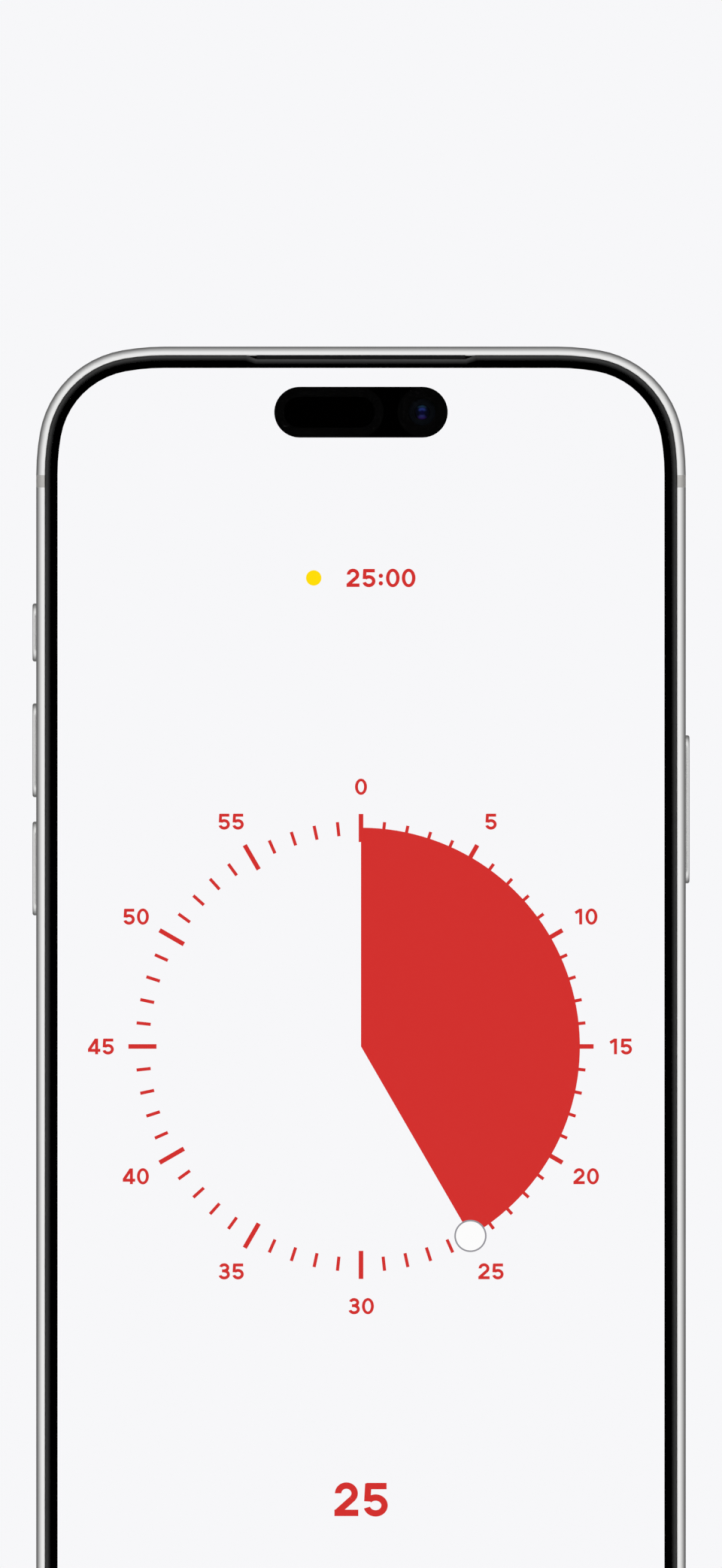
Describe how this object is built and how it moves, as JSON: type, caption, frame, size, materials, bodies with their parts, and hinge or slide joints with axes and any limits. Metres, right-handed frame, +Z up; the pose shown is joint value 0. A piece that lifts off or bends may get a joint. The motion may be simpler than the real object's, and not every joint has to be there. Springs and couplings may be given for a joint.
{
  "type": "visual countdown timer",
  "caption": "Slab handset whose lit screen shows a round dial with a red sector for the minutes left, with side buttons, a card tray and rear cameras.",
  "frame": {"origin": "middle of the bottom edge, on the flat of the edge and at mid-thickness, where the charging port opens", "axes": "+Z up the handset, +X to the right as the user sees the screen, +Y from the screen to the rear"},
  "size_m": [0.0784, 0.0121, 0.163],
  "materials": {
    "titanium_band": "bead-blasted satin metal",
    "antenna_plastic": "moulded, matt",
    "chassis_alloy": "machined",
    "rear_glass": "etched matt, coloured behind",
    "seal_adhesive": "soft adhesive",
    "cover_glass": "polished, clear",
    "border_ink": "opaque printed ink",
    "screen_background": "lit",
    "shield_sheet": "blackened sheet",
    "screen_red": "lit",
    "screen_red_marks": "lit",
    "screen_white": "lit",
    "screen_grey": "lit",
    "screen_red_figures": "lit",
    "screen_yellow": "lit",
    "camera_black": "matt",
    "front_lens": "coated glass",
    "sensor_black": "dark filter",
    "island_glass": "polished, coloured behind",
    "ring_metal": "turned and brushed",
    "lens_window": "coated, clear",
    "rear_camera_black": "matt",
    "main_barrel": "black barrel, coated glass",
    "wide_barrel": "black barrel, coated glass",
    "tele_barrel": "black barrel, coated glass",
    "flash_window": "diffusing",
    "flash_light": "phosphor",
    "switch_metal": "plated domes",
    "bracket_steel": "stamped",
    "tray_metal": "bead-blasted satin metal",
    "card_plastic": "matt",
    "reader_steel": "stamped",
    "battery_foil": "black laminate pouch",
    "board_laminate": "solder-masked",
    "screw_steel": "plated",
    "can_steel": "stamped",
    "chip_black": "moulded",
    "ribbon_film": "polyimide film",
    "coil_copper": "wound copper",
    "ferrite": "sintered sheet",
    "magnet_nickel": "nickel-plated",
    "haptic_steel": "drawn",
    "haptic_tungsten": "sintered tungsten",
    "spring_steel": "folded strip",
    "speaker_plastic": "moulded",
    "cone_film": "pressed film",
    "earpiece_plastic": "moulded",
    "mesh_metal": "woven, black",
    "port_steel": "drawn",
    "port_plastic": "moulded",
    "case_screw_steel": "plated",
    "button_metal": "bead-blasted satin metal",
    "clip_steel": "spring steel"
  },
  "bodies": {
    "body": {"band": "titanium_band", "antenna_breaks": "antenna_plastic", "chassis_plate": "chassis_alloy", "rear_glass": "rear_glass", "glass_seals": "seal_adhesive", "cover_glass": "cover_glass", "black_border": "border_ink", "display_panel": "screen_background", "display_shield": "shield_sheet", "lit_time_sector": "screen_red", "lit_dial_marks": "screen_red_marks", "lit_handle": "screen_white", "lit_handle_line": "screen_grey", "lit_readout": "screen_red_figures", "lit_dot": "screen_yellow", "front_camera_body": "camera_black", "front_camera_lens": "front_lens", "face_sensor": "sensor_black", "camera_island": "island_glass", "lens_rings": "ring_metal", "lens_windows": "lens_window", "rear_camera_bodies": "rear_camera_black", "flash_window": "flash_window", "flash_light": "flash_light", "button_switches": "switch_metal", "switch_brackets": "bracket_steel", "card_reader": "reader_steel", "battery": "battery_foil", "logic_board": "board_laminate", "board_screws": "screw_steel", "shield_cans": "can_steel", "board_chips": "chip_black", "flex_ribbons": "ribbon_film", "charging_coil": "coil_copper", "coil_ferrite": "ferrite", "magnet_ring": "magnet_nickel", "haptic_case": "haptic_steel", "haptic_springs": "spring_steel", "loudspeaker_case": "speaker_plastic", "earpiece_speaker": "earpiece_plastic", "sound_meshes": "mesh_metal", "port_shell": "port_steel", "port_tongue": "port_plastic", "bottom_screws": "case_screw_steel"},
    "card_tray": {"card_tray": "tray_metal", "card": "card_plastic"},
    "main_camera_lens": {"main_camera_lens": "main_barrel"},
    "wide_camera_lens": {"wide_camera_lens": "wide_barrel"},
    "tele_camera_lens": {"tele_camera_lens": "tele_barrel"},
    "haptic_mass": {"haptic_mass": "haptic_tungsten"},
    "loudspeaker_cone": {"loudspeaker_cone": "cone_film"},
    "action_button": {"action_button": "button_metal", "action_clip": "clip_steel"},
    "volume_up_button": {"volume_up_button": "button_metal", "volume_up_clip": "clip_steel"},
    "volume_down_button": {"volume_down_button": "button_metal", "volume_down_clip": "clip_steel"},
    "side_button": {"side_button": "button_metal", "side_clip": "clip_steel"}
  },
  "joints": [
    {"name": "action_press", "type": "slide", "parent": "body", "child": "action_button", "axis": [1, 0, 0], "range_m": [0, 0.00025], "stiffness_N_per_m": 4000, "springref_m": -0.0003},
    {"name": "volume_up_press", "type": "slide", "parent": "body", "child": "volume_up_button", "axis": [1, 0, 0], "range_m": [0, 0.00025], "stiffness_N_per_m": 4000, "springref_m": -0.0003},
    {"name": "volume_down_press", "type": "slide", "parent": "body", "child": "volume_down_button", "axis": [1, 0, 0], "range_m": [0, 0.00025], "stiffness_N_per_m": 4000, "springref_m": -0.0003},
    {"name": "side_press", "type": "slide", "parent": "body", "child": "side_button", "axis": [-1, 0, 0], "range_m": [0, 0.00025], "stiffness_N_per_m": 4000, "springref_m": -0.0003},
    {"name": "card_tray_slide", "type": "slide", "parent": "body", "child": "card_tray", "axis": [-1, 0, 0], "range_m": [0, 0.012]},
    {"name": "main_focus", "type": "slide", "parent": "body", "child": "main_camera_lens", "axis": [0, 1, 0], "range_m": [-0.00025, 0.00025], "stiffness_N_per_m": 300},
    {"name": "wide_focus", "type": "slide", "parent": "body", "child": "wide_camera_lens", "axis": [0, 1, 0], "range_m": [-0.00025, 0.00025], "stiffness_N_per_m": 300},
    {"name": "tele_focus", "type": "slide", "parent": "body", "child": "tele_camera_lens", "axis": [0, 1, 0], "range_m": [-0.00025, 0.00025], "stiffness_N_per_m": 300},
    {"name": "haptic_stroke", "type": "slide", "parent": "body", "child": "haptic_mass", "axis": [1, 0, 0], "range_m": [-0.0005, 0.0005], "stiffness_N_per_m": 400},
    {"name": "cone_stroke", "type": "slide", "parent": "body", "child": "loudspeaker_cone", "axis": [0, 1, 0], "range_m": [-0.0003, 0.0003], "stiffness_N_per_m": 400}
  ]
}
